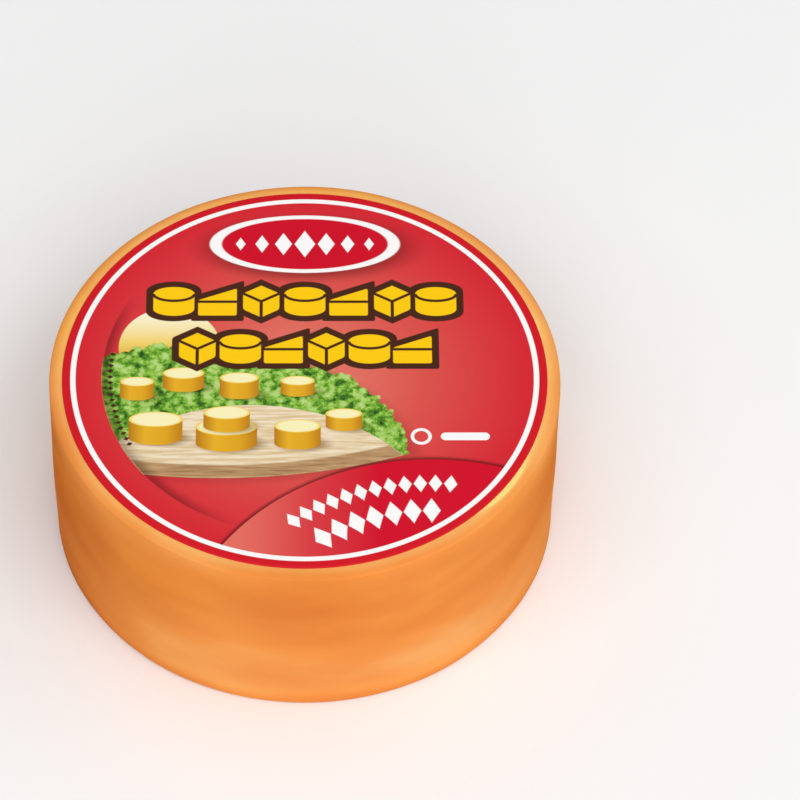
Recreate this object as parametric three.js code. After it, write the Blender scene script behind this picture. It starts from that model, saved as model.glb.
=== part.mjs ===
// A small smoked kashkaval: one round wheel of cheese with a round paper label stuck to its top.
// Millimetres, +Z up. The origin is the centre of the flat underside, and the label's print reads
// upright for someone who looks along +Y, with +X to their right.

import * as THREE from "three";
import { mergeVertices } from "three/addons/utils/BufferGeometryUtils.js";

// Driving dimensions. The net weight of 250 g at 1.08 g/cm3 is 231 cm3 of cheese, the wheel is 0.81
// of its radius tall, and the label reaches out to where the flat top starts to round over.
const WHEEL_RADIUS = 45.2; // at the top of the side
const WHEEL_HEIGHT = 36.8;
const LABEL_RADIUS = 42.9;
const LABEL_THICKNESS = 0.25;

// The side: nearly upright, a touch narrower at the foot, and very slightly barrelled.
const FOOT_DRAFT = 0.25; // how much smaller the radius is at the foot
const SIDE_BARREL = 0.08; // how far the middle of the side stands proud of a straight wall

// The two rims are quarter ellipses: run is measured across, and rise is measured up the wall.
const SHOULDER = { run: 2.0, rise: 0.55, steps: 8 };
const FOOT = { run: 0.9, rise: 0.75, steps: 6 };

const SIDE_STEPS = 10;
const TURN_STEPS = 120; // facets round the wheel

// Colours of the photograph's rind and of the label's red field.
const RIND_COLOUR = 0xeb8f45;
const LABEL_COLOUR = 0xd51f31;

/**
 * Points of a quarter ellipse in the profile plane, x across and y up.
 * @param {number} x centre, across
 * @param {number} y centre, up
 * @param {{run: number, rise: number, steps: number}} rim half axes and number of steps
 * @param {number} from start angle in degrees, 0 pointing outwards and 90 up
 * @param {number} to end angle in degrees
 */
function quarterEllipse(x, y, rim, from, to) {
  return Array.from({ length: rim.steps + 1 }, (_, i) => {
    const angle = THREE.MathUtils.degToRad(THREE.MathUtils.lerp(from, to, i / rim.steps));
    return new THREE.Vector2(x + rim.run * Math.cos(angle), y + rim.rise * Math.sin(angle));
  });
}

/** Radius of the side wall at a height: a straight draft plus half a sine wave of barrel. */
function sideRadius(height) {
  const low = FOOT.rise;
  const high = WHEEL_HEIGHT - SHOULDER.rise;
  const share = (height - low) / (high - low);
  const draft = FOOT_DRAFT * (1 - share);
  return WHEEL_RADIUS - draft + SIDE_BARREL * Math.sin(Math.PI * share);
}

/** The wheel's profile, from the middle of the underside, out and up the side, to the middle of the top. */
function wheelProfile() {
  const low = FOOT.rise;
  const high = WHEEL_HEIGHT - SHOULDER.rise;
  const foot = quarterEllipse(sideRadius(low) - FOOT.run, low, FOOT, -90, 0);
  const side = Array.from({ length: SIDE_STEPS - 1 }, (_, i) => {
    const height = THREE.MathUtils.lerp(low, high, (i + 1) / SIDE_STEPS);
    return new THREE.Vector2(sideRadius(height), height);
  });
  const shoulder = quarterEllipse(sideRadius(high) - SHOULDER.run, high, SHOULDER, 0, 90);
  return [
    new THREE.Vector2(0, 0),
    ...foot,
    ...side,
    ...shoulder,
    new THREE.Vector2(0, WHEEL_HEIGHT),
  ];
}

/** The label's profile: a thin flat disc that starts and ends on the axis. */
function labelProfile() {
  return [
    new THREE.Vector2(0, 0),
    new THREE.Vector2(LABEL_RADIUS, 0),
    new THREE.Vector2(LABEL_RADIUS, LABEL_THICKNESS),
    new THREE.Vector2(0, LABEL_THICKNESS),
  ];
}

/** Turns a profile into a closed solid that stands on +Z, with its doubled seam vertices merged. */
function turned(profile) {
  const lathe = new THREE.LatheGeometry(profile, TURN_STEPS);
  lathe.deleteAttribute("normal");
  lathe.deleteAttribute("uv");
  lathe.rotateX(Math.PI / 2); // the lathe turns round +Y
  const solid = mergeVertices(lathe, 1e-4);
  solid.computeVertexNormals();
  return solid;
}

/** A named mesh of a turned solid. */
function turnedMesh(name, profile, colour, roughness) {
  const material = new THREE.MeshStandardMaterial({ color: colour, roughness, metalness: 0 });
  const mesh = new THREE.Mesh(turned(profile), material);
  mesh.name = name;
  return mesh;
}

const cheese = turnedMesh("cheese_wheel", wheelProfile(), RIND_COLOUR, 0.45);

const label = turnedMesh("top_label", labelProfile(), LABEL_COLOUR, 0.5);
label.position.z = WHEEL_HEIGHT;

const kashkaval = new THREE.Group();
kashkaval.name = "smoked_kashkaval";
kashkaval.add(cheese, label);

export default kashkaval;
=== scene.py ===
"""Dresses a small smoked kashkaval: a satin amber wheel of cheese with a printed round label on top.

Everything is in metres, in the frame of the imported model: +Z is up, the underside lies on z = 0, and
the label's print is upright for someone who looks along +Y. The print is drawn in label units, where
1 is the label's radius, u runs to the right and v runs away from that reader.
"""

import logging
import math
from dataclasses import dataclass
from enum import Enum
from typing import Any, Callable, Mapping, Protocol, Sequence, Union

import bpy
import numpy as np
from mathutils import Matrix, Vector


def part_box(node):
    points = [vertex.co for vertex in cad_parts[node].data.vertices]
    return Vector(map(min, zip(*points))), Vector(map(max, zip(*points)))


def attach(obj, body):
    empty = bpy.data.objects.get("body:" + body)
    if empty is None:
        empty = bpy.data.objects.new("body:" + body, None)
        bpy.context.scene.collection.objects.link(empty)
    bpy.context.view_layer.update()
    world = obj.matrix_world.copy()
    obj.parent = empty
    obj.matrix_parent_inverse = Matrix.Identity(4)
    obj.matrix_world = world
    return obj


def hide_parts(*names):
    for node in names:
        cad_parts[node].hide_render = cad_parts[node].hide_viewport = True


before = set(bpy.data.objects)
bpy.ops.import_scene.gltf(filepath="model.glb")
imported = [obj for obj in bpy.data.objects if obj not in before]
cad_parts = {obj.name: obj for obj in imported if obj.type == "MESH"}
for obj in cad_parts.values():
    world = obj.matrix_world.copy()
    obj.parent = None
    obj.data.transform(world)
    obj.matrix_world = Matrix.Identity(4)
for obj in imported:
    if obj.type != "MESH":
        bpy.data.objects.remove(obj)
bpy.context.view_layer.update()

log = logging.getLogger("smoked_kashkaval")

MM = 0.001
BAKE_MAP = "OFBake"

Colour = tuple[float, float, float, float]
Ramp = tuple[tuple[float, Colour], ...]  # positions from 0 to 1, rising, with their colours
Ink = Union[Colour, "Tint"]
Number = Union[float, "Value"]
Rise = Union[tuple[float, float], tuple[float, float, float]]  # what Value.ease takes
Disc = tuple[float, float, float]  # u, v and radius, in label units


class Slot(Enum):
    """The names of the record's material slots for the rind and the label."""

    RIND = "rind"
    LABEL = "label"


def srgb(red: int, green: int, blue: int) -> Colour:
    """A display colour, 0 to 255 in each channel, as the linear colour that a shader takes.

    Args:
        red, green, blue: The channels as a picture stores them.

    Returns:
        Linear red, green and blue from 0 to 1, and an alpha of 1.
    """
    def linear(channel: int) -> float:
        """One channel made linear."""
        share = channel / 255
        return share / 12.92 if share <= 0.04045 else ((share + 0.055) / 1.055) ** 2.4

    return linear(red), linear(green), linear(blue), 1.0


# --- Shader maths ---------------------------------------------------------------------------------


class Shader:
    """The node tree of one new material, to which nodes are added in the order that they are used."""

    def __init__(self, name: str) -> None:
        """Starts an empty material.

        Args:
            name: The material's name.
        """
        self.material = bpy.data.materials.new(name)
        self.material.use_nodes = True
        self.tree = self.material.node_tree
        self.tree.nodes.clear()

    def node(
        self,
        kind: str,
        settings: Mapping[str, Any] | None = None,
        sockets: Mapping[Union[str, int], Any] | None = None,
    ) -> bpy.types.Node:
        """Adds any node: its settings first, and then the values or links of its inputs.

        Args:
            kind: Blender's name for the node's type.
            settings: Attributes of the node. "stops" gives a colour ramp's (position, colour) pairs.
            sockets: For each input, by name or index, a plain value, a socket or a wrapped socket.

        Returns:
            The new node.
        """
        node = self.tree.nodes.new(kind)
        for key, value in (settings or {}).items():
            if key == "stops":
                self._set_stops(node.color_ramp, value)
            else:
                setattr(node, key, value)
        for key, value in (sockets or {}).items():
            source = getattr(value, "socket", value)
            if isinstance(source, bpy.types.NodeSocket):
                self.tree.links.new(source, node.inputs[key])
            else:
                node.inputs[key].default_value = source
        return node

    @staticmethod
    def _set_stops(ramp: bpy.types.ColorRamp, stops: Ramp) -> None:
        """Gives a colour ramp its stops; a new ramp has two.

        Args:
            ramp: The ramp.
            stops: The stops.
        """
        for _ in stops[2:]:
            ramp.elements.new(1.0)
        for element, (position, colour) in zip(ramp.elements, stops):
            element.position = position
            element.color = colour

    def finish(self, sockets: Mapping[str, Any]) -> bpy.types.Material:
        """Ends the tree with a Principled surface and its output.

        Args:
            sockets: The surface's inputs.

        Returns:
            The finished material.
        """
        surface = self.node("ShaderNodeBsdfPrincipled", sockets=sockets)
        self.node("ShaderNodeOutputMaterial", sockets={"Surface": surface.outputs["BSDF"]})
        return self.material


@dataclass(frozen=True)
class Value:
    """A number that varies over the surface. Arithmetic on it adds Math nodes."""

    shader: Shader
    socket: bpy.types.NodeSocket

    def _math(self, operation: str, *terms: Number, clamp: bool = False) -> "Value":
        """Adds one Math node.

        Args:
            operation: The node's operation.
            terms: Its inputs in order.
            clamp: Whether its result is held between 0 and 1.

        Returns:
            The node's result.
        """
        settings = {"operation": operation, "use_clamp": clamp}
        node = self.shader.node("ShaderNodeMath", settings, dict(enumerate(terms)))
        return Value(self.shader, node.outputs[0])

    def __add__(self, other: Number) -> "Value":
        """self + other."""
        return self._math("ADD", self, other)

    __radd__ = __add__

    def __sub__(self, other: Number) -> "Value":
        """self - other."""
        return self._math("SUBTRACT", self, other)

    def __rsub__(self, other: float) -> "Value":
        """other - self."""
        return self._math("SUBTRACT", other, self)

    def __mul__(self, other: Number) -> "Value":
        """self * other."""
        return self._math("MULTIPLY", self, other)

    __rmul__ = __mul__

    def __truediv__(self, other: Number) -> "Value":
        """self / other."""
        return self._math("DIVIDE", self, other)

    def __rtruediv__(self, other: float) -> "Value":
        """other / self."""
        return self._math("DIVIDE", other, self)

    def __neg__(self) -> "Value":
        """Minus self."""
        return self._math("MULTIPLY", self, -1.0)

    def __abs__(self) -> "Value":
        """The size of self, without its sign."""
        return self._math("ABSOLUTE", self)

    def __pow__(self, power: float) -> "Value":
        """self to a power."""
        return self._math("POWER", self, power)

    def least(self, other: Number) -> "Value":
        """The smaller of self and other: the union of two shapes' distances."""
        return self._math("MINIMUM", self, other)

    def most(self, other: Number) -> "Value":
        """The larger of self and other: the overlap of two shapes' distances."""
        return self._math("MAXIMUM", self, other)

    def rounded_most(self, other: Number, radius: float) -> "Value":
        """The larger of self and other, with the corner between them rounded over a radius."""
        return self._math("SMOOTH_MAX", self, other, radius)

    def nearest_whole(self) -> "Value":
        """self rounded to a whole number."""
        return self._math("ROUND", self)

    def angle_from(self, across: "Value") -> "Value":
        """The angle in radians of the point (across, self), counted from +u."""
        return self._math("ARCTAN2", self, across)

    def line(self, slope: float, start: float) -> "Value":
        """slope * self + start, held between 0 and 1."""
        return self._math("MULTIPLY_ADD", self, slope, start, clamp=True)

    def ease(self, low: float, high: float, size: float = 1.0) -> "Value":
        """0 where self is low, size where it is high, and an S-shaped way between them.

        Args:
            low: The value that gives 0.
            high: The value that gives size; it may be the smaller of the two.
            size: The full size, which may be below 0.

        Returns:
            From 0 to size.
        """
        settings = {"interpolation_type": "SMOOTHSTEP"}
        sockets = {"Value": self, "From Min": low, "From Max": high, "To Max": size}
        node = self.shader.node("ShaderNodeMapRange", settings, sockets)
        return Value(self.shader, node.outputs["Result"])

    def ramp(self, stops: Ramp) -> "Tint":
        """The colour that a ramp with these stops gives to self."""
        node = self.shader.node("ShaderNodeValToRGB", {"stops": stops}, {"Fac": self})
        return Tint(self.shader, node.outputs["Color"])


@dataclass(frozen=True)
class Tint:
    """A colour that varies over the surface."""

    shader: Shader
    socket: bpy.types.NodeSocket

    def _mix(self, blend: str, other: Ink, share: Number) -> "Tint":
        """Adds one colour Mix node.

        Args:
            blend: The node's blend type.
            other: The second colour.
            share: How much of the second colour there is, from 0 to 1.

        Returns:
            The mixed colour.
        """
        settings = {"data_type": "RGBA", "blend_type": blend}
        node = self.shader.node("ShaderNodeMix", settings, {0: share, 6: self, 7: other})
        return Tint(self.shader, node.outputs[2])

    def under(self, ink: Ink, mask: Number) -> "Tint":
        """This colour with ink printed over it where the mask is 1."""
        return self._mix("MIX", ink, mask)

    def shaded(self, shade: Colour, mask: Number) -> "Tint":
        """This colour multiplied by a shade where the mask is 1."""
        return self._mix("MULTIPLY", shade, mask)


@dataclass(frozen=True)
class Place:
    """A position that varies over the surface, as a vector."""

    shader: Shader
    socket: bpy.types.NodeSocket

    def _vector(
        self, operation: str, other: Sequence[float], output: str = "Vector"
    ) -> bpy.types.NodeSocket:
        """One output of a Vector Math node whose second input is a constant."""
        node = self.shader.node("ShaderNodeVectorMath", {"operation": operation}, {0: self, 1: other})
        return node.outputs[output]

    def scaled(self, x: float, y: float, z: float) -> "Place":
        """The position stretched along each axis."""
        return Place(self.shader, self._vector("MULTIPLY", (x, y, z)))

    def moved(self, x: float, y: float, z: float = 0.0) -> "Place":
        """The position with (x, y, z) added."""
        return Place(self.shader, self._vector("ADD", (x, y, z)))

    def distance(self, x: float, y: float, z: float = 0.0) -> Value:
        """The distance from (x, y, z)."""
        return Value(self.shader, self._vector("DISTANCE", (x, y, z), "Value"))

    def parts(self) -> tuple[Value, Value, Value]:
        """Takes the position apart.

        Returns:
            Its three coordinates.
        """
        node = self.shader.node("ShaderNodeSeparateXYZ", sockets={0: self})
        x, y, z = (Value(self.shader, socket) for socket in node.outputs)
        return x, y, z

    def tufts(self, scale: float) -> Value:
        """Tufts: 0 in the middle of each, and about 0.7 between them.

        Args:
            scale: Tufts in each unit of length.

        Returns:
            The distance from the nearest middle, in tufts.
        """
        settings = {"voronoi_dimensions": "2D", "feature": "F1"}
        node = self.shader.node("ShaderNodeTexVoronoi", settings, {"Vector": self, "Scale": scale})
        return Value(self.shader, node.outputs["Distance"])


def object_place(shader: Shader) -> Place:
    """The point's place in the piece, in metres."""
    return Place(shader, shader.node("ShaderNodeTexCoord").outputs["Object"])


@dataclass(frozen=True)
class Noise:
    """Smooth noise, mostly from 0.3 to 0.7."""

    scale: float  # features in each unit of length
    detail: float = 2.0  # octaves of finer noise
    roughness: float = 0.5  # how strong the finer octaves are
    stretch: tuple[float, float, float] | None = None  # of the place, before the noise reads it
    strength: float = 1.0  # of its swing

    def at(self, place: Place) -> Value:
        """The noise at a place.

        Args:
            place: The place.

        Returns:
            The noise.
        """
        if self.stretch is not None:
            place = place.scaled(*self.stretch)
        sockets = {"Scale": self.scale, "Detail": self.detail, "Roughness": self.roughness}
        settings = {"noise_dimensions": "3D"}
        node = place.shader.node("ShaderNodeTexNoise", settings, {"Vector": place, **sockets})
        return Value(place.shader, node.outputs["Fac"])

    def swing(self, place: Place) -> Value:
        """The noise less its middle, times its strength."""
        return (self.at(place) - 0.5) * self.strength


# --- Finishes ---------------------------------------------------------------------------------------


@dataclass(frozen=True)
class Skin:
    """A satin skin with fine and coarse bumps, where the coarse ones change the roughness too."""

    fine: Noise
    coarse: Noise
    fine_share: float  # height of the fine bumps over that of the coarse ones
    strength: float  # of the bumps, from 0 to 1
    depth: float  # in metres
    roughness: float
    unevenness: float  # how much the roughness changes with the coarse bumps

    def sockets(self, here: Place) -> dict[str, Any]:
        """Works out a surface's roughness and its bumps.

        Args:
            here: The point's place.

        Returns:
            The surface's inputs for both.
        """
        fine, coarse = self.fine.at(here), self.coarse.at(here)
        height = fine * self.fine_share + coarse
        sockets = {"Strength": self.strength, "Distance": self.depth, "Height": height}
        bumps = here.shader.node("ShaderNodeBump", sockets=sockets)
        roughness = (coarse - 0.5) * self.unevenness + self.roughness
        return {"Roughness": roughness, "Normal": bumps.outputs["Normal"]}


@dataclass(frozen=True)
class SmokeAndLightPatch:
    """A soft patch of the rind, darker or lighter than round it; some are painted shade and one a
    painted highlight.
    """

    azimuth: float  # degrees from the front, growing to the right
    up: float  # the height of its middle, in mm
    half_width: float  # in mm
    half_height: float  # in mm
    strength: float
    inset: float = 0.0  # how far inside the wheel's radius its middle lies, in mm

    def at(self, here: Place, radius: float) -> Value:
        """What it adds to the rind's darkness: its strength in the middle, with an S-shaped fall to 0
        at its edge.

        Args:
            here: The point's place.
            radius: The wheel's.

        Returns:
            The darkness that it adds.
        """
        turn, out = math.radians(self.azimuth), radius - self.inset * MM
        middle = here.moved(-out * math.sin(turn), out * math.cos(turn), -self.up * MM)
        across, up = 1 / (self.half_width * MM), 1 / (self.half_height * MM)
        return middle.scaled(across, across, up).distance(0.0, 0.0).ease(1.0, 0.0, self.strength)


@dataclass(frozen=True)
class RindFinish:
    """Smoked rind: amber, darker where the smoke took, satin, and faintly pitted, with painted shade
    and light on the wall and shoulder.
    """

    radius: float  # of the wheel, in metres
    height: float
    # the smoke's tones; the painted shade and light move along them too
    tones: Ramp = (
        (0.00, srgb(255, 222, 134)),
        (0.08, srgb(249, 184, 107)),
        (0.40, srgb(234, 145, 71)),
        (0.65, srgb(217, 124, 56)),
        (0.90, srgb(199, 103, 43)),
    )
    straw: Colour = (1.0, 0.99, 0.74, 1.0)  # tints the amber in clouds near the top
    straw_clouds: Noise = Noise(26.0, detail=1.0, stretch=(1.0, 1.0, 1.6))
    straw_shift: tuple[float, float, float] = (0.3, 0.1, 0.2)  # keeps them off the smoke's clouds
    straw_noise: Rise = (0.40, 0.62)
    straw_up: Rise = (0.40, 0.85)  # in shares of the height
    straw_across: Rise = (1.0, 0.3)  # in shares of the radius, to the right
    rosy: Colour = (0.96, 0.99, 1.14, 1.0)  # tints the amber low down
    rosy_down: Rise = (0.5, 0.2)  # in shares of the height
    rosy_up: Rise = (0.04, 0.22)
    rosy_across: Rise = (-0.9, 0.2)  # in shares of the radius, to the right
    low_smoke: float = 0.33  # on the lower wall
    painted_shade_belt: Rise = (0.24, 0.57, 0.18)  # in shares of the height: painted shade, the wall darker above
    painted_light_under_shoulder: Rise = (0.82, 0.985, -0.155)  # and painted light: lighter again just under the shoulder
    crown: Rise = (1.002, 0.945, -0.25)  # in shares of the radius: painted light over the shoulder too
    foot: Rise = (0.09, 0.0, 0.22)  # in shares of the height: painted shade, a thin dark edge at the foot
    clouds: Noise = Noise(24.0, detail=1.0, stretch=(1.0, 1.0, 1.7), strength=0.26)
    streaks: Noise = Noise(52.0, stretch=(1.0, 1.0, 3.0), strength=0.30)
    patches: tuple[SmokeAndLightPatch, ...] = (
        # painted shade on the left side of the wall, which turns from the light
        SmokeAndLightPatch(-72, 4, 30, 44, 0.42),
        # painted shade on the upper wall at the front
        SmokeAndLightPatch(-2, 31, 20, 13, 0.14),
        SmokeAndLightPatch(80, 19, 32, 24, 0.14),
        SmokeAndLightPatch(18, 35, 42, 6, 0.10),
        SmokeAndLightPatch(38, 9, 26, 12, -0.10),
        SmokeAndLightPatch(-10, 8, 15, 8, 0.10),
        SmokeAndLightPatch(-36, 9, 9, 8, -0.10),
        SmokeAndLightPatch(-53, 27, 10, 9, 0.09),
        SmokeAndLightPatch(30, 28, 12, 6, -0.08),
        SmokeAndLightPatch(54, 36.8, 10.5, 0.11, -0.26, inset=1.9),  # a painted highlight: a thin light streak on the shoulder
        SmokeAndLightPatch(150, 22, 30, 20, 0.14),
        SmokeAndLightPatch(-140, 14, 26, 22, 0.12),
    )
    skin: Skin = Skin(
        fine=Noise(1400.0, detail=3.0, roughness=0.6),
        coarse=Noise(420.0),
        fine_share=0.5,
        strength=0.08,
        depth=0.08 * MM,
        roughness=0.46,
        unevenness=0.25,
    )

    def material(self) -> bpy.types.Material:
        """Builds the rind's material, which reads Object coordinates only.

        Returns:
            The material.
        """
        shader = Shader("smoked_rind")
        here = object_place(shader)
        sockets = {
            "Base Color": self._amber(here),
            "Specular IOR Level": 0.0,  # keeps the wall from whitening where it is seen aslant
            "Subsurface Weight": 0.12,
            "Subsurface Radius": (1.0, 0.45, 0.15),
            "Subsurface Scale": 2.0 * MM,
        }
        return shader.finish({**sockets, **self.skin.sockets(here)})

    def _amber(self, here: Place) -> Tint:
        """The rind's colour: the smoke's tone with painted shade and light in it, yellower in clouds
        near the top and pinker low down.

        Args:
            here: The point's place.

        Returns:
            The colour.
        """
        right, away, up = here.parts()
        share, across = up / self.height, right / self.radius
        tone = self._smoke_and_painted_light(here, share, length(right, away) / self.radius).ramp(self.tones)
        clouds = self.straw_clouds.at(here.moved(*self.straw_shift)).ease(*self.straw_noise)
        high = share.ease(*self.straw_up) * across.ease(*self.straw_across)
        low = share.ease(*self.rosy_down) * share.ease(*self.rosy_up) * across.ease(*self.rosy_across)
        return tone.shaded(self.straw, clouds * high).shaded(self.rosy, low)

    def _smoke_and_painted_light(self, here: Place, share: Value, reach: Value) -> Value:
        """How smoked the rind is, from 0 to 1, with painted shade and light added in.

        Painted shade makes the wall darker above than below, painted light makes it lighter again at
        the shoulder, and painted shade gives the foot a thin dark edge. Over that lie the patches, a
        few of them painted shade or a highlight, soft clouds and faint streaks. The clouds and streaks
        are drawn out round the wheel, because the height is stretched before the noise reads it.

        Args:
            here: The point's place.
            share: Its height over the wheel's.
            reach: Its distance from the wheel's axis over the wheel's radius.

        Returns:
            The smoke's strength, with the painted shade and light.
        """
        # Painted shade: darker upper wall and dark foot edge. Painted light: lighter wall under the
        # shoulder and over it.
        smoke = share.ease(*self.painted_shade_belt) + self.low_smoke
        smoke = smoke + share.ease(*self.painted_light_under_shoulder) + reach.ease(*self.crown) + share.ease(*self.foot)
        for patch in self.patches:
            smoke = smoke + patch.at(here, self.radius)
        return smoke + self.clouds.swing(here) + self.streaks.swing(here)


@dataclass(frozen=True)
class Inks:
    """The label's inks."""

    band: Colour = srgb(209, 15, 32)
    white: Colour = srgb(254, 251, 249)
    crimson: Colour = srgb(208, 2, 36)
    yellow: Colour = srgb(255, 204, 0)
    brown: Colour = srgb(70, 34, 16)
    curd_top: Colour = srgb(251, 242, 188)
    curd_rim: Colour = srgb(246, 212, 90)
    curd_sides: Ramp = (
        (0.0, srgb(184, 120, 16)),
        (0.3, srgb(232, 176, 36)),
        (0.7, srgb(224, 164, 28)),
        (1.0, srgb(190, 126, 18)),
    )
    sun: Ramp = (
        (0.0, srgb(222, 160, 30)),
        (0.4, srgb(244, 212, 110)),
        (1.0, srgb(254, 247, 214)),
    )
    woods: Ramp = (
        (0.20, srgb(34, 74, 22)),
        (0.45, srgb(88, 146, 38)),
        (0.65, srgb(142, 192, 66)),
        (0.88, srgb(184, 216, 128)),
    )
    ground: Ramp = (
        (0.38, srgb(219, 190, 144)),
        (0.60, srgb(243, 227, 196)),
    )
    earth: Ramp = (
        (0.35, srgb(156, 116, 76)),
        (0.65, srgb(200, 162, 116)),
    )
    shadow: Colour = (0.10, 0.02, 0.02, 1.0)
    umbra: Colour = (0.30, 0.18, 0.08, 1.0)
    field: Ramp = (
        (0.20, srgb(226, 112, 97)),
        (0.50, srgb(220, 81, 74)),
        (0.75, srgb(217, 55, 60)),
        (0.94, srgb(213, 33, 46)),
    )
    corner: Ramp = (
        (0.0, srgb(228, 108, 94)),
        (0.5, srgb(217, 58, 64)),
        (1.0, srgb(210, 2, 38)),
    )


@dataclass(frozen=True)
class Sheet:
    """Flat shapes on the label, as distances in label units: below 0 inside, above 0 outside."""

    place: Place
    edge: float = 0.0035  # width over which a printed edge turns from one ink to the next

    def inside(self, distance: Value, soft: float | None = None) -> Value:
        """1 inside a shape and 0 outside, over a width of soft, or of a printed edge if it is None."""
        return distance.line(-1.0 / (soft or self.edge), 0.5)

    def disc(self, u: float, v: float, radius: float) -> Value:
        """A disc: the distance from its centre, less its radius."""
        return self.place.distance(u, v) - radius

    def oval(self, u: float, v: float, across: float, up: float) -> Value:
        """An upright oval: the length in half axes, less 1, times the shorter half axis."""
        stretched = self.place.moved(-u, -v).scaled(1 / across, 1 / up, 1.0)
        return (stretched.distance(0.0, 0.0) - 1.0) * min(across, up)

    def bar(self, u: float, v: float, half_length: float, radius: float) -> Value:
        """A level bar with round ends: the distance from its core line, less its radius.

        Args:
            u, v: Its middle.
            half_length: Half its length, ends included.
            radius: Half its height.

        Returns:
            The bar's distance.
        """
        x, y, _ = self.place.moved(-u, -v).parts()
        past_end = (abs(x) - (half_length - radius)).most(0.0)
        return length(past_end, y) - radius


@dataclass
class Press:
    """The label in the press: the sheet, the inks, and what is printed so far."""

    sheet: Sheet
    inks: Inks
    paint: Tint

    def ink(self, ink: Ink, shape: Value, soft: float | None = None) -> None:
        """Prints an ink inside a shape, with a printed edge or one as wide as soft."""
        self.paint = self.paint.under(ink, self.sheet.inside(shape, soft))

    def shade(self, mask: Value, shade: Colour | None = None) -> None:
        """Darkens what is there by the shadow, or by another shade, as far as the mask says."""
        self.paint = self.paint.shaded(shade or self.inks.shadow, mask)


class Layer(Protocol):
    """A part of the print."""

    def over(self, press: Press) -> None:
        """Prints the part over what is there."""


def length(x: Value, y: Value) -> Value:
    """The length of (x, y): the root of the sum of squares."""
    return (x * x + y * y) ** 0.5


def repeated(along: Value, first: float, pitch: float, count: int) -> tuple[Value, Value]:
    """Copies what is drawn round 0 along a line.

    The place in the nearest copy is the distance along, less the first copy's place, less the pitch
    times the copy's number, which is held between 0 and count - 1.

    Args:
        along: The distance along the line.
        first: Where the first copy's middle is.
        pitch: The distance from one middle to the next.
        count: How many copies there are.

    Returns:
        The place in the nearest copy, and that copy's number from 0.
    """
    number = ((along - first) / pitch).nearest_whole().most(0.0).least(count - 1.0)
    return along - first - number * pitch, number


def oval_distance(x: Value, y: Value, across: float, up: float) -> Value:
    """The distance from an upright oval round (0, 0), given its half axes, close to true at its edge.

    With n the length of (x / across, y / up), it is n * (n - 1) over the length of (x / across^2,
    y / up^2).
    """
    reach = length(x / across, y / up)
    return reach * (reach - 1.0) / length(x / across**2, y / up**2)


class Motif(Enum):
    """The small shapes that the yellow rows are made of: ways to cut a cheese."""

    WHEEL = "a whole wheel, lying flat"
    WEDGE = "a wedge, with its point at the left"
    CUBE = "a cube seen from a corner"


@dataclass(frozen=True)
class Cutting:
    """Draws one motif round (0, 0), with its inner lines left open."""

    x: Value  # across, in label units
    y: Value  # up
    size: float  # half its height
    line: float = 0.085  # half the width of an inner line, over the size
    soft: float = 0.20  # how round the outline's corners are, over the size

    def distance(self, motif: Motif) -> Value:
        """The motif's distance, below 0 inside."""
        drawers = {Motif.WHEEL: self._wheel, Motif.WEDGE: self._wedge, Motif.CUBE: self._cube}
        return drawers[motif]()

    def _wheel(self) -> Value:
        """A cylinder: an oval swept up, open along the lower half of its upper end.

        Returns:
            The wheel's distance.
        """
        across, flat, half_wall = 1.04 * self.size, 0.46 * self.size, 0.50 * self.size
        swept = self.y - self.y.most(-half_wall).least(half_wall)
        outline = oval_distance(self.x, swept, across, flat)
        above = self.y - half_wall
        rim = abs(oval_distance(self.x, above, across, flat)) - self.line * self.size
        return outline.most(-rim.most(above))

    def _wedge(self) -> Value:
        """A slanted top over an upright side, both coming to a point at the left, open between them.

        Returns:
            The wedge's distance.
        """
        right, low, tip = 0.98 * self.size, -0.94 * self.size, -0.02 * self.size
        left_lean, upright, reach = -0.37, 0.93, 0.44  # where the slanted edge faces and how far out
        slant = self.x * left_lean + self.y * upright - reach * self.size
        outline = self._rounded(abs(self.x) - right, low - self.y)
        outline = self._rounded(outline, slant)
        edge = abs(self.y - tip) - self.line * self.size
        return outline.most(-edge)

    def _cube(self) -> Value:
        """A hexagon, open along the three edges that meet in its middle: down and up to both sides.

        Returns:
            The cube's distance.
        """
        half_width, sine, cosine = 0.92 * self.size, 0.5, 0.87  # of 30 degrees
        steep = abs(self.x) * sine + abs(self.y) * cosine
        hexagon = self._rounded(abs(self.x) - half_width, steep - half_width)
        down = abs(self.x).most(self.y)
        aslant = abs(self.y * cosine - abs(self.x) * sine)
        return hexagon.most(self.line * self.size - down.least(aslant))

    def _rounded(self, one: Value, other: Value) -> Value:
        """The overlap of two shapes, with the corners between them rounded."""
        return one.rounded_most(other, self.soft * self.size)


@dataclass(frozen=True)
class MotifRow:
    """A row of yellow motifs in a brown surround."""

    v: float  # height of the row's middle
    count: int
    pitch: float
    size: float
    starts_with: int  # place in the order of motifs
    surround: float = 0.030

    def distance(self, sheet: Sheet) -> Value:
        """The row: each kind of motif stands at every third place, and the kinds are joined.

        Args:
            sheet: The label.

        Returns:
            The row's distance.
        """
        u, v, _ = sheet.place.parts()
        up = v - self.v
        kinds = list(Motif)
        first = -0.5 * (self.count - 1) * self.pitch
        row: Value | None = None
        for place in range(min(len(kinds), self.count)):
            motif = kinds[(place + self.starts_with) % len(kinds)]
            copies = (self.count - place + len(kinds) - 1) // len(kinds)
            across, _ = repeated(u, first + place * self.pitch, self.pitch * len(kinds), copies)
            shape = Cutting(across, up, self.size).distance(motif)
            row = shape if row is None else row.least(shape)
        return row

    def over(self, press: Press) -> None:
        """Prints the row's surround and then the row.

        Args:
            press: The label so far.
        """
        shapes = self.distance(press.sheet)
        press.ink(press.inks.brown, shapes - self.surround)
        press.ink(press.inks.yellow, shapes)


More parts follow.
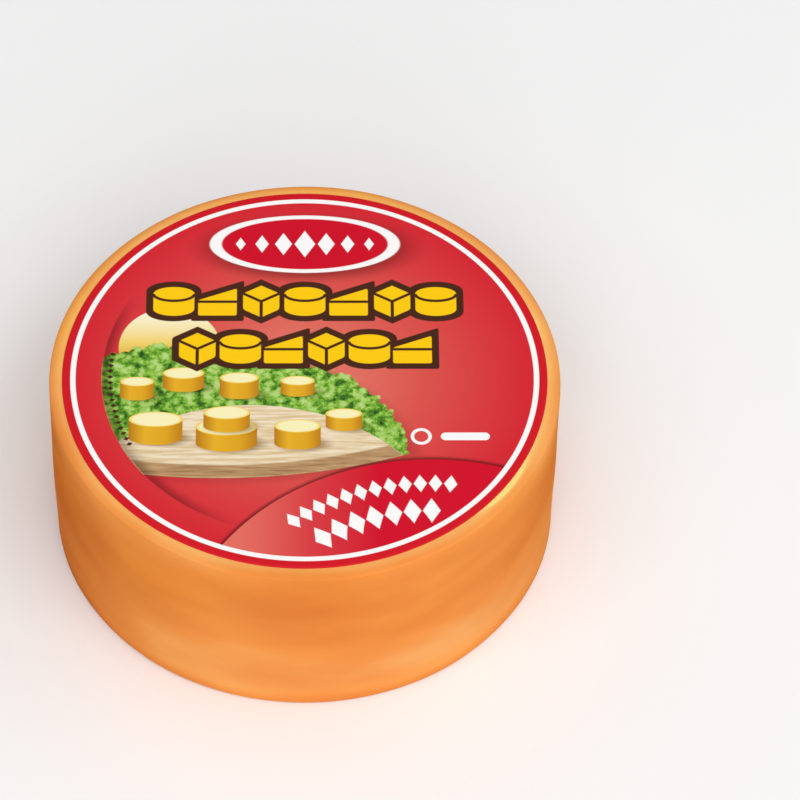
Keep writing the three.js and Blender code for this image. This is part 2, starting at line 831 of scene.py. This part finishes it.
@dataclass(frozen=True)
class ArcRow:
    """Lozenges set out evenly along an arc, each of them pointing away from the arc's centre."""

    radius: float
    from_degrees: float  # the angle of the first lozenge, counted from +u
    to_degrees: float  # the angle of the last one
    count: int
    half_width: float  # along the arc
    half_height: float  # across it
    sharpness: float = 0.8  # turns the sum below into nearly a true distance

    def distance(self, place: Place) -> Value:
        """The row. A lozenge is where across / half_width + up / half_height is below 1.

        Args:
            place: A place in label units, counted from the arc's centre.

        Returns:
            The lozenges' distance.
        """
        x, y, _ = place.parts()
        first = math.radians(self.from_degrees) * self.radius
        pitch = math.radians(self.to_degrees - self.from_degrees) * self.radius / (self.count - 1)
        across, _ = repeated(y.angle_from(x) * self.radius, first, pitch, self.count)
        up = length(x, y) - self.radius
        slant = abs(across) / self.half_width + abs(up) / self.half_height - 1.0
        return slant * (self.half_width * self.sharpness)


@dataclass(frozen=True)
class DrawnWheel:
    """A little wheel of cheese in the picture: an upright cylinder, looked down on at a slant."""

    u: float
    v: float  # of the middle of its lower oval
    radius: float
    height: float
    flatness: float = 0.36  # an oval's height over its width
    rim: float = 0.010
    rim_softness: float = 0.012
    shadow_shift: tuple[float, float] = (0.022, -0.012)
    shadow: Rise = (0.05, -0.04, 0.75)

    def over(self, press: Press, frame_edge: Value) -> None:
        """Prints the wheel, with its shadow on the ground to the right of it.

        Heights are first stretched until the two ovals are circles. The outline is then the distance
        from the upright line between their middles, less the radius, and the top is a disc.

        Args:
            press: The label so far.
            frame_edge: The picture's outline, past which nothing is drawn.
        """
        inks = press.inks
        middle = press.sheet.place.moved(-self.u, -self.v).scaled(1.0, 1 / self.flatness, 1.0)
        x, y, _ = middle.parts()
        tall = self.height / self.flatness
        outline = length(x, y - y.most(0.0).least(tall)) - self.radius
        top = middle.distance(0.0, tall) - self.radius
        shadow = (middle.distance(*self.shadow_shift) - self.radius).most(frame_edge)
        press.shade(shadow.ease(*self.shadow), inks.umbra)
        press.ink(x.line(0.5 / self.radius, 0.5).ramp(inks.curd_sides), outline.most(frame_edge))
        press.ink(inks.curd_rim, top.most(frame_edge))
        press.ink(inks.curd_top, (top + self.rim).most(frame_edge), self.rim_softness)


@dataclass(frozen=True)
class Landscape:
    """A made-up picture: a low sun, two wooded hills, and wheels of cheese on pale ground.

    Every outline is a disc, large or small. The picture ends at an arc along the label's left side,
    which casts a soft shade into it, and at a long shallow arc below, where the ground is cut off
    and shows the darker earth. A row of small dark lozenges follows the left side.
    """

    side: float = 0.836  # radius of the arc on the left, round the label's middle
    low_arc: Disc = (-0.35, 1.90, 2.44)
    drop: Disc = (-0.12, -0.52, 0.60)  # holds the shadow under the picture to its lower end
    drop_shift: tuple[float, float] = (0.01, -0.03)
    drop_shadow: Rise = (0.03, -0.05, 0.30)
    sun: Disc = (-0.56, 0.15, 0.21)
    sun_fade: tuple[float, float] = (4.0, -0.30)  # slope and start of the way up its ramp
    hills: tuple[Disc, Disc] = ((-0.60, -0.34, 0.50), (-0.14, -0.50, 0.58))
    tufts: float = 30.0  # twigs in each unit
    crowns: float = 9.0  # treetops in each unit
    ruffle: float = 0.03  # how far both move the hills' outline
    lightness: float = 0.95  # of the leaves, on their ramp
    tuft_shade: float = 0.45
    crown_shade: float = 0.40
    leaves: Noise = Noise(24.0, detail=5.0, roughness=0.7, strength=2.2)
    ground: Disc = (-0.22, -1.02, 0.86)
    soil: Noise = Noise(11.0, detail=4.0, roughness=0.6, stretch=(0.5, 6.0, 1.0))
    earth_depth: float = 0.065
    soft_edge: float = 0.008  # of the woods and of the earth
    side_shade: Rise = (-0.060, 0.0)
    shade_across: Rise = (-0.22, -0.55)
    shade_up: Rise = (0.46, 0.22, 0.55)
    wheels: tuple[DrawnWheel, ...] = (
        DrawnWheel(-0.69, -0.11, 0.070, 0.075),
        DrawnWheel(-0.50, -0.06, 0.085, 0.070),
        DrawnWheel(-0.27, -0.10, 0.080, 0.085),
        DrawnWheel(-0.03, -0.09, 0.070, 0.060),
        DrawnWheel(0.16, -0.27, 0.075, 0.065),
        DrawnWheel(-0.61, -0.33, 0.110, 0.095),
        DrawnWheel(-0.32, -0.36, 0.125, 0.085),
        DrawnWheel(-0.32, -0.27, 0.095, 0.070),
        DrawnWheel(-0.03, -0.36, 0.095, 0.090),
    )
    beads: ArcRow = ArcRow(0.802, -27.0, 8.0, 17, 0.010, 0.014)  # mirrored onto the left side

    def over(self, press: Press) -> None:
        """Prints the picture, from the back of it to the front.

        Args:
            press: The label so far.
        """
        sheet, inks = press.sheet, press.inks
        side_arc, low_arc = sheet.disc(0.0, 0.0, self.side), sheet.disc(*self.low_arc)
        picture = side_arc.most(low_arc)
        lowered = Sheet(sheet.place.moved(-self.drop_shift[0], -self.drop_shift[1]))
        drop = lowered.disc(*self.low_arc).most(lowered.disc(*self.drop)).most(side_arc)
        press.shade(drop.ease(*self.drop_shadow))

        u, v, _ = sheet.place.parts()
        press.ink(v.line(*self.sun_fade).ramp(inks.sun), sheet.disc(*self.sun).most(picture))
        self._woods(press, picture)
        self._ground(press, picture, low_arc)

        shade = side_arc.ease(*self.side_shade) * sheet.inside(side_arc)
        press.shade(shade * u.ease(*self.shade_across) * v.ease(*self.shade_up))
        press.ink(inks.brown, self.beads.distance(sheet.place.scaled(-1.0, 1.0, 1.0)))

    def _woods(self, press: Press, picture: Value) -> None:
        """Prints both hills. Twigs and treetops ruffle their outline and shade their leaves.

        Args:
            press: The label so far.
            picture: The picture's outline.
        """
        place, usual = press.sheet.place, 0.4  # what tufts gives on average
        tufts, crowns = place.tufts(self.tufts), place.tufts(self.crowns)
        canopy = (tufts - usual) * self.ruffle + (crowns - usual) * self.ruffle
        leaves = self.lightness - tufts * self.tuft_shade - crowns * self.crown_shade
        leaves = leaves + self.leaves.swing(place)
        left, right = (press.sheet.disc(*hill) for hill in self.hills)
        hills = (left.least(right) + canopy).most(picture)
        press.ink(leaves.ramp(press.inks.woods), hills, self.soft_edge)

    def _ground(self, press: Press, picture: Value, low_arc: Value) -> None:
        """Prints the ground, the wheels on it and the earth under its cut edge.

        Args:
            press: The label so far.
            picture: The picture's outline.
            low_arc: The arc that the ground is cut off at.
        """
        grain = self.soil.at(press.sheet.place)
        ground = press.sheet.disc(*self.ground).most(picture)
        press.ink(grain.ramp(press.inks.ground), ground)
        for wheel in self.wheels:
            wheel.over(press, picture)
        earth = ground.most(-(low_arc + self.earth_depth))
        press.ink(grain.ramp(press.inks.earth), earth, self.soft_edge)


@dataclass(frozen=True)
class CornerPanel:
    """The darker panel at the lower right, with two rows of lozenges along its arc."""

    centre: tuple[float, float] = (0.512, -1.474)
    radius: float = 1.029
    shadow: Rise = (0.024, -0.002, 0.85)
    red_fade: tuple[float, float] = (1.8, 0.46)  # slope and start of the way along its ramp
    upper: ArcRow = ArcRow(0.905, 85.0, 128.0, 12, 0.027, 0.044)
    lower: ArcRow = ArcRow(0.765, 90.0, 125.0, 7, 0.036, 0.062)

    def over(self, press: Press) -> None:
        """Prints the panel's shadow, the panel and both rows.

        Args:
            press: The label so far.
        """
        u, _, _ = press.sheet.place.parts()
        panel = press.sheet.disc(*self.centre, self.radius)
        press.shade(panel.ease(*self.shadow))
        press.ink(u.line(*self.red_fade).ramp(press.inks.corner), panel)
        from_centre = press.sheet.place.moved(-self.centre[0], -self.centre[1])
        rows = self.upper.distance(from_centre).least(self.lower.distance(from_centre))
        press.ink(press.inks.white, rows)


@dataclass(frozen=True)
class Rings:
    """The flat red band round the edge and the white ring inside it."""

    field_edge: float = 0.944
    band_edge: float = 0.966

    def over(self, press: Press) -> None:
        """Prints white from the field's edge outwards, and the band over the outer part of it.

        Args:
            press: The label so far.
        """
        from_middle = press.sheet.place.distance(0.0, 0.0)
        press.ink(press.inks.white, self.field_edge - from_middle)
        press.ink(press.inks.band, self.band_edge - from_middle)


@dataclass(frozen=True)
class Plaque:
    """An oval plaque with a border and a row of lozenges, the middle one largest."""

    u: float = 0.0
    v: float = 0.715
    across: float = 0.40
    up: float = 0.160
    border: float = 0.020
    shadow_shift: tuple[float, float] = (0.012, -0.022)
    shadow: Rise = (0.05, -0.03, 0.6)
    count: int = 7
    pitch: float = 0.09
    largest: float = 0.074  # half the height of the middle lozenge
    lessening: float = 0.013  # how much less it is in each further one
    slimness: float = 1.7  # a lozenge's height over its width
    sharpness: float = 0.6  # turns the sum below into nearly a true distance

    def over(self, press: Press) -> None:
        """Prints the plaque with a soft shadow round it.

        A lozenge is where slimness * across + up is below its half height.

        Args:
            press: The label so far.
        """
        sheet, inks = press.sheet, press.inks
        right, up = self.shadow_shift
        press.shade(sheet.oval(self.u + right, self.v + up, self.across, self.up).ease(*self.shadow))
        oval = sheet.oval(self.u, self.v, self.across, self.up)
        press.ink(inks.white, oval)
        press.ink(inks.crimson, oval + self.border)
        x, y, _ = sheet.place.moved(-self.u, -self.v).parts()
        middle = (self.count - 1) / 2
        local, number = repeated(x, -middle * self.pitch, self.pitch, self.count)
        size = self.largest - abs(number - middle) * self.lessening
        lozenge = abs(local) * self.slimness + abs(y) - size
        press.ink(inks.white, lozenge * self.sharpness)


@dataclass(frozen=True)
class SmallMarks:
    """A small white ring and a white bar at the right."""

    ring: Disc = (0.475, -0.325, 0.036)
    half_line: float = 0.007  # of the ring
    bar: tuple[float, float, float, float] = (0.655, -0.325, 0.100, 0.020)  # what Sheet.bar takes

    def over(self, press: Press) -> None:
        """Prints both of them."""
        ring = abs(press.sheet.disc(*self.ring)) - self.half_line
        press.ink(press.inks.white, ring.least(press.sheet.bar(*self.bar)))


@dataclass(frozen=True)
class LabelPrint:
    """The label's print on satin paper: a red field, lighter in its middle, and the layers on it."""

    radius: float  # of the label, in metres
    inks: Inks = Inks()
    layers: tuple[Layer, ...] = (
        Landscape(),
        CornerPanel(),
        Rings(),
        Plaque(),
        MotifRow(v=0.398, count=7, pitch=0.182, size=0.082, starts_with=0),
        MotifRow(v=0.140, count=6, pitch=0.178, size=0.082, starts_with=2),
        SmallMarks(),
    )
    paper: Skin = Skin(
        fine=Noise(2600.0, roughness=0.6),
        coarse=Noise(90.0),
        fine_share=0.3,
        strength=0.06,
        depth=0.05 * MM,
        roughness=0.48,
        unevenness=0.2,
    )

    def material(self) -> bpy.types.Material:
        """Builds the label's material, which reads Object coordinates only.

        Returns:
            The material.
        """
        shader = Shader("printed_paper")
        here = object_place(shader)
        sheet = Sheet(here.scaled(1 / self.radius, 1 / self.radius, 0.0))
        field = sheet.place.distance(0.0, 0.0).line(1.0, 0.0).ramp(self.inks.field)
        press = Press(sheet, self.inks, field)
        for layer in self.layers:
            layer.over(press)
        sockets = {"Base Color": press.paint, "Specular IOR Level": 0.2}
        return shader.finish({**sockets, **self.paper.sockets(here)})


@dataclass(frozen=True)
class FloorFinish:
    """A pale matt studio floor."""

    colour: Colour = (0.93, 0.93, 0.93, 1.0)
    roughness: float = 0.9

    def material(self) -> bpy.types.Material:
        """Builds the floor's material."""
        sockets = {"Base Color": self.colour, "Roughness": self.roughness}
        return Shader("studio_floor").finish(sockets)


# --- Meshes -----------------------------------------------------------------------------------------


def quarter_ellipse(
    centre: tuple[float, float], run: float, rise: float, angles: tuple[float, float], steps: int
) -> np.ndarray:
    """Points of part of an ellipse in the profile plane.

    Each is (centre radius + run * cos a, centre height + rise * sin a).

    Args:
        centre: Radius and height of the ellipse's centre.
        run, rise: Half axes across and up.
        angles: First and last angle in degrees, 0 pointing outwards and 90 up.
        steps: How many steps there are between them.

    Returns:
        An array of steps + 1 rows of radius and height.
    """
    angle = np.radians(np.linspace(*angles, steps + 1))
    return np.stack([centre[0] + run * np.cos(angle), centre[1] + rise * np.sin(angle)], axis=1)


def level(radii: np.ndarray, height: float) -> np.ndarray:
    """Rows of radius and height for rings that lie at one height."""
    return np.stack([radii, np.full_like(radii, height)], axis=1)


@dataclass(frozen=True)
class Patch:
    """A part of a bake map: some rings of faces, laid in a room of their own in the unit square."""

    first: int  # ring, where -1 is the lower pole
    last: int  # ring, where the number of rings is the upper pole
    corner: tuple[float, float]  # the room's low corner
    room: tuple[float, float]
    strips: int = 0  # how many a band is cut into, or 0 for rings round a pole, which stay round
    gap: float = 0.01  # between one strip and the next

    def spots(self, share: np.ndarray, turn: np.ndarray, start: np.ndarray) -> np.ndarray:
        """Places corners on the map.

        On a strip the turn runs to the right and the share up. Round a pole a corner lies at (middle
        + reach cos a, middle + reach sin a), with a reach in proportion to its way from the pole.

        Args:
            share: 0 on the patch's first ring and 1 on its last.
            turn: Round the piece, from 0 to 1.
            start: The turn where each face starts.

        Returns:
            The places, with two coordinates in the last axis.
        """
        if self.strips:
            strip, pitch = np.floor(start * self.strips), self.room[1] / self.strips
            right = self.corner[0] + self.room[0] * (turn * self.strips - strip)
            up = self.corner[1] + pitch * strip + (pitch - self.gap) * share
            return np.stack([right, up], axis=-1)
        reach = 0.5 * (share if self.first < 0 else 1 - share)
        angle = 2 * np.pi * turn
        disc = np.stack([0.5 + reach * np.cos(angle), 0.5 + reach * np.sin(angle)], axis=-1)
        return np.array(self.corner) + np.array(self.room) * disc


@dataclass
class TurnedPiece:
    """A closed surface of revolution: rings of points, from a pole underneath to a pole on top."""

    name: str
    profile: np.ndarray  # a row of radius and height for each ring, from the underside upwards
    turns: int
    relief: Callable[[np.ndarray, np.ndarray], np.ndarray] | None = None

    def points(self) -> np.ndarray:
        """Works out the vertices.

        Ring i at turn j is (r cos a, r sin a, z), with a = 2 pi j / turns. Relief then moves each
        point along the profile's own normal. The two poles come last.

        Returns:
            The vertices, ring by ring.
        """
        angle = 2 * np.pi * np.arange(self.turns) / self.turns
        radius = np.repeat(self.profile[:, :1], self.turns, axis=1)
        height = np.repeat(self.profile[:, 1:], self.turns, axis=1)
        if self.relief is not None:
            along = np.gradient(self.profile, axis=0)
            along /= np.linalg.norm(along, axis=1, keepdims=True)
            depth = self.relief(np.broadcast_to(angle, radius.shape), height)
            radius = radius + depth * along[:, 1:]
            height = height - depth * along[:, :1]
        rings = np.stack([radius * np.cos(angle), radius * np.sin(angle), height], axis=2)
        poles = [[0.0, 0.0, self.profile[0, 1]], [0.0, 0.0, self.profile[-1, 1]]]
        return np.concatenate([rings.reshape(-1, 3), poles])

    def faces(self) -> tuple[np.ndarray, np.ndarray]:
        """Works out the faces, each of them pointing out.

        Quads join neighbouring rings, and a fan of triangles joins the first and the last ring to
        their poles. The arrays of corners hold each corner's ring and its turn, where the poles are
        rings -1 and the number of rings, half a turn step along.

        Returns:
            The quads' corners and the triangles' corners, with ring and turn in the last axis.
        """
        rings = len(self.profile)
        ring, turn = np.meshgrid(np.arange(rings - 1.0), np.arange(float(self.turns)), indexing="ij")
        corners = ((0, 0), (0, 1), (1, 1), (1, 0))  # of a quad: rings up and turns along
        quads = np.stack([np.stack([ring + up, turn + on], axis=2) for up, on in corners], axis=2)
        turn = np.arange(float(self.turns))
        first, last = np.zeros_like(turn), np.full_like(turn, rings - 1)
        under = [[first, turn + 1], [first, turn], [first - 1, turn + 0.5]]
        above = [[last, turn], [last, turn + 1], [last + 1, turn + 0.5]]
        fans = np.concatenate([np.array(under), np.array(above)], axis=2).transpose(2, 0, 1)
        return quads.reshape(-1, 4, 2), fans

    def lay_flat(self, mesh: bpy.types.Mesh, patches: Sequence[Patch]) -> None:
        """Gives the mesh its bake map, patch by patch, with the widths along the profile kept.

        Args:
            mesh: The piece's mesh.
            patches: The parts of the map, which together hold every ring of faces.
        """
        lower_pole, upper_pole = [[0.0, self.profile[0, 1]]], [[0.0, self.profile[-1, 1]]]
        outline = np.concatenate([lower_pole, self.profile, upper_pole])
        steps = np.hypot(*np.diff(outline, axis=0).T)
        along = np.concatenate([[0.0], np.cumsum(steps)])
        spots = []
        for faces in self.faces():
            lowest = faces.min(axis=1)
            spot = np.zeros(faces.shape)
            for patch in patches:
                own = (lowest[:, 0] >= patch.first) & (lowest[:, 0] < patch.last)
                width = along[patch.last + 1] - along[patch.first + 1]
                ring = faces[own, :, 0].astype(int) + 1
                share = (along[ring] - along[patch.first + 1]) / width
                turn = faces[own, :, 1] / self.turns
                spot[own] = patch.spots(share, turn, lowest[own, 1:] / self.turns)
            spots.append(spot.reshape(-1, 2))
        layer = mesh.uv_layers.new(name=BAKE_MAP)
        layer.data.foreach_set("uv", np.concatenate(spots).ravel())

    def _vertex(self, corners: np.ndarray) -> np.ndarray:
        """The vertex number of each corner: turns round a ring close, and the poles come last.

        Args:
            corners: Rings and turns in the last axis.

        Returns:
            Whole numbers.
        """
        rings = len(self.profile)
        ring, turn = corners[..., 0], corners[..., 1]
        number = ring * self.turns + turn % self.turns
        number = np.where(ring < 0, rings * self.turns, number)
        return np.where(ring >= rings, rings * self.turns + 1, number).astype(int)

    def object(self, material: bpy.types.Material) -> bpy.types.Object:
        """Makes the mesh and its object.

        Args:
            material: The piece's finish.

        Returns:
            The object, linked into the scene.
        """
        quads, fans = self.faces()
        mesh = bpy.data.meshes.new(self.name)
        polygons = self._vertex(quads).tolist() + self._vertex(fans).tolist()
        mesh.from_pydata(self.points().tolist(), [], polygons)
        mesh.polygons.foreach_set("use_smooth", np.ones(len(polygons), dtype=bool))
        mesh.materials.append(material)
        piece = bpy.data.objects.new(self.name, mesh)
        bpy.context.scene.collection.objects.link(piece)
        return piece


@dataclass
class CheeseWheel:
    """The wheel of cheese under its label."""

    radius: float  # at the widest place
    height: float
    foot_draft: float = 0.25 * MM
    barrel: float = 0.08 * MM
    relief_room: float = 0.02 * MM  # how far inside the solid's widest radius the wall stays
    shoulder_run: float = 2.0 * MM
    shoulder_rise: float = 0.55 * MM
    foot_run: float = 0.9 * MM
    foot_rise: float = 0.75 * MM
    wave_size: float = 0.06 * MM
    wave_fall: float = 0.18  # how fast quicker waves lose height
    wave_counts: range = range(2, 15)  # waves round the wheel
    wave_climb: tuple[float, float] = (0.5, 4.5)  # half waves up the wall
    foot_fade: float = 0.04  # share of the height over which the relief starts
    shoulder_fade: float = 0.03  # and ends
    turns: int = 384
    flat_rings: int = 12
    foot_steps: int = 12
    side_rings: int = 84
    shoulder_steps: int = 20
    inmost: float = 0.08  # radius of a flat's smallest ring over the flat's
    seed: int = 250

    def _side_radius(self, height: np.ndarray) -> np.ndarray:
        """The wall's radius: a straight draft plus half a sine wave of barrel.

        Args:
            height: Heights above the underside.

        Returns:
            The radius at each.
        """
        low, high = self.foot_rise, self.height - self.shoulder_rise
        share = (height - low) / (high - low)
        wall = self.radius - self.relief_room
        return wall - self.foot_draft * (1 - share) + self.barrel * np.sin(np.pi * share)

    def profile(self) -> np.ndarray:
        """The outline from the middle of the underside to the middle of the top.

        Returns:
            Rows of radius and height.
        """
        low, high = self.foot_rise, self.height - self.shoulder_rise
        foot_centre = float(self._side_radius(np.array(low))) - self.foot_run
        shoulder_centre = float(self._side_radius(np.array(high))) - self.shoulder_run
        under = np.linspace(self.inmost, 1.0, self.flat_rings)[:-1] * foot_centre
        heights = np.linspace(low, high, self.side_rings + 2)[1:-1]
        over = np.linspace(1.0, self.inmost, self.flat_rings)[1:] * shoulder_centre
        foot = quarter_ellipse(
            (foot_centre, low), self.foot_run, self.foot_rise, (-90, 0), self.foot_steps
        )
        side = np.stack([self._side_radius(heights), heights], axis=1)
        shoulder = quarter_ellipse(
            (shoulder_centre, high), self.shoulder_run, self.shoulder_rise, (0, 90), self.shoulder_steps
        )
        return np.concatenate([level(under, 0.0), foot, side, shoulder, level(over, self.height)])

    def _relief(self, angle: np.ndarray, height: np.ndarray) -> np.ndarray:
        """How far the rind stands out from a true surface of revolution.

        The sum of a few waves, each cos(count a + climb pi z / height + phase), with a whole count so
        that it closes round the wheel. It fades to nothing at the flat underside and the flat top.

        Args:
            angle: Round the wheel, in radians.
            height: Above the underside, in metres.

        Returns:
            The relief at each point, in metres.
        """
        draw = np.random.default_rng(self.seed)
        share = height / self.height
        waves = np.zeros_like(share)
        for count in self.wave_counts:
            climb = draw.uniform(*self.wave_climb)
            phase = draw.uniform(0.0, 2 * np.pi)
            size = self.wave_size / (1 + self.wave_fall * count)
            waves += size * np.cos(count * angle + climb * np.pi * share + phase)
        low_fade = np.clip(share / self.foot_fade, 0, 1)
        return waves * low_fade * np.clip((1 - share) / self.shoulder_fade, 0, 1)

    def build(self) -> bpy.types.Object:
        """Makes the wheel, puts it in the place of its solid and lets it ride on the root body.

        Returns:
            The piece.
        """
        turned = TurnedPiece("smoked_rind_wheel", self.profile(), self.turns, self._relief)
        piece = turned.object(RindFinish(self.radius, self.height).material())
        foot, pole = self.flat_rings - 1, len(turned.profile)
        crown = pole - self.flat_rings
        side = Patch(foot, crown, corner=(0.01, 0.01), room=(0.98, 0.56), strips=2)
        underside = Patch(-1, foot, corner=(0.01, 0.58), room=(0.41, 0.41))
        top = Patch(crown, pole, corner=(0.5, 0.58), room=(0.41, 0.41))
        turned.lay_flat(piece.data, (side, underside, top))
        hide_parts("cheese_wheel")
        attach(piece, "root")
        return piece


@dataclass
class TopLabel:
    """The round paper label on the flat top."""

    radius: float
    underside: float  # height of the face that is stuck down
    thickness: float
    turns: int = 384
    under_rings: int = 8
    edge_steps: int = 5
    top_rings: int = 30
    inmost_under: float = 0.1  # radius of the smallest ring over the label's
    inmost_over: float = 0.04
    curl_share: float = 0.6  # rounding of the upper edge over the thickness

    def profile(self) -> np.ndarray:
        """The outline: flat underneath, a small round along the upper edge, and flat on top.

        Returns:
            Rows of radius and height.
        """
        top = self.underside + self.thickness
        curl = self.curl_share * self.thickness
        under = np.linspace(self.inmost_under, 1.0, self.under_rings) * self.radius
        over = np.linspace(1.0, self.inmost_over, self.top_rings)[1:] * (self.radius - curl)
        edge = quarter_ellipse((self.radius - curl, top - curl), curl, curl, (0, 90), self.edge_steps)
        return np.concatenate([level(under, self.underside), edge, level(over, top)])

    def build(self) -> bpy.types.Object:
        """Makes the label, puts it in the place of its solid and lets it ride on the root body.

        Returns:
            The piece.
        """
        turned = TurnedPiece("round_paper_label", self.profile(), self.turns)
        piece = turned.object(LabelPrint(self.radius).material())
        rim, pole = self.under_rings - 1, len(turned.profile)
        printed = Patch(rim, pole, corner=(0.01, 0.01), room=(0.94, 0.94))
        hidden = Patch(-1, rim, corner=(0.83, 0.83), room=(0.16, 0.16))
        turned.lay_flat(piece.data, (printed, hidden))
        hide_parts("top_label")
        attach(piece, "root")
        return piece


# --- Studio -----------------------------------------------------------------------------------------


@dataclass(frozen=True)
class SoftBox:
    """A large square light that looks at the middle of the object from far off."""

    name: str
    azimuth: float  # degrees from the front, growing to the right
    elevation: float
    watts: float
    distance: float = 2.5
    side: float = 1.4

    def build(self, target: Vector) -> bpy.types.Object:
        """Makes the light.

        Args:
            target: The point that it looks at.

        Returns:
            The light's object.
        """
        lamp = bpy.data.lights.new(self.name, "AREA")
        lamp.shape = "SQUARE"
        lamp.size = self.side
        lamp.energy = self.watts
        across, up = math.radians(self.azimuth), math.radians(self.elevation)
        towards = Vector(
            (math.cos(up) * math.sin(across), -math.cos(up) * math.cos(across), math.sin(up))
        )
        light = bpy.data.objects.new(self.name, lamp)
        light.location = target + towards * self.distance
        light.rotation_euler = (-towards).to_track_quat("-Z", "Y").to_euler()
        bpy.context.scene.collection.objects.link(light)
        return light


@dataclass(frozen=True)
class Viewpoint:
    """The photograph's camera, from where the middle of the wheel's top falls in its frame."""

    elevation: float = 50.45  # degrees down
    distance: float = 0.905
    frame_pixels: float = 800.0
    focal_pixels: float = 5117.0
    top_centre_pixel: tuple[float, float] = (304.9, 375.9)
    sensor: float = 36.0  # mm

    def build(self, top_centre: Vector) -> bpy.types.Object:
        """Makes the camera and makes it the scene's.

        It starts on the line that runs back and up from the top's centre, looking along it, and then
        turns about its own axes until that centre falls on its pixel.

        Args:
            top_centre: The middle of the wheel's flat top.

        Returns:
            The camera's object.
        """
        data = bpy.data.cameras.new("viewpoint")
        data.lens = self.sensor * self.focal_pixels / self.frame_pixels
        data.sensor_width = self.sensor
        data.clip_end = 20.0
        camera = bpy.data.objects.new("viewpoint", data)
        tilt = math.radians(90.0 - self.elevation)
        back = Vector((0.0, -math.sin(tilt), math.cos(tilt)))
        middle = self.frame_pixels / 2
        turn = math.atan((middle - self.top_centre_pixel[0]) / self.focal_pixels)
        drop = math.atan((middle - self.top_centre_pixel[1]) / self.focal_pixels)
        looking = (
            Matrix.Rotation(tilt, 4, "X")
            @ Matrix.Rotation(-turn, 4, "Y")
            @ Matrix.Rotation(-drop, 4, "X")
        )
        camera.matrix_world = Matrix.Translation(top_centre + back * self.distance) @ looking
        bpy.context.scene.collection.objects.link(camera)
        bpy.context.scene.camera = camera
        return camera


@dataclass
class Studio:
    """The pale floor, the lights and the camera."""

    top_centre: Vector
    floor_half_side: float = 4.0
    surround: float = 0.21
    lights: tuple[SoftBox, ...] = (
        SoftBox("front", azimuth=0, elevation=50, watts=14.3),
        SoftBox("low_front", azimuth=0, elevation=20, watts=13.2),
        SoftBox("key", azimuth=45, elevation=50, watts=15.8),
        SoftBox("low_key", azimuth=45, elevation=20, watts=4.9),
        SoftBox("right", azimuth=95, elevation=50, watts=7.1),
        SoftBox("left", azimuth=-45, elevation=50, watts=10.7),
        SoftBox("back_right", azimuth=140, elevation=40, watts=3.9),
        SoftBox("back_left", azimuth=-140, elevation=40, watts=3.9),
        SoftBox("top", azimuth=0, elevation=90, watts=5.1),
    )

    def build(self) -> None:
        """Makes the floor, the lights, the surrounding light and the camera."""
        self._floor()
        for light in self.lights:
            light.build(self.top_centre)
        self._surround()
        Viewpoint().build(self.top_centre)
        bpy.context.scene.view_settings.view_transform = "Standard"

    def _floor(self) -> None:
        """A square sheet at z = 0."""
        half = self.floor_half_side
        corners = [(-half, -half, 0.0), (half, -half, 0.0), (half, half, 0.0), (-half, half, 0.0)]
        mesh = bpy.data.meshes.new("floor")
        mesh.from_pydata(corners, [], [(0, 1, 2, 3)])
        mesh.materials.append(FloorFinish().material())
        floor = bpy.data.objects.new("floor", mesh)
        bpy.context.scene.collection.objects.link(floor)

    def _surround(self) -> None:
        """An even white surround, which lights the object from every side."""
        world = bpy.data.worlds.new("surround")
        world.use_nodes = True
        background = world.node_tree.nodes["Background"]
        background.inputs["Color"].default_value = (1.0, 1.0, 1.0, 1.0)
        background.inputs["Strength"].default_value = self.surround
        bpy.context.scene.world = world


# --- The whole --------------------------------------------------------------------------------------


def main() -> None:
    """Builds the pieces in order, and then the studio round them."""
    logging.basicConfig(level=logging.INFO, format="%(name)s: %(message)s")
    wheel_low, wheel_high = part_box("cheese_wheel")
    label_low, label_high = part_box("top_label")

    wheel = CheeseWheel(radius=wheel_high.x, height=wheel_high.z - wheel_low.z)
    label = TopLabel(
        radius=label_high.x, underside=label_low.z, thickness=label_high.z - label_low.z
    )
    for part in (wheel, label):
        piece = part.build()
        log.info("%s: %d faces", piece.name, len(piece.data.polygons))
    Studio(top_centre=Vector((0.0, 0.0, wheel_high.z))).build()


if __name__ == "__main__":
    main()
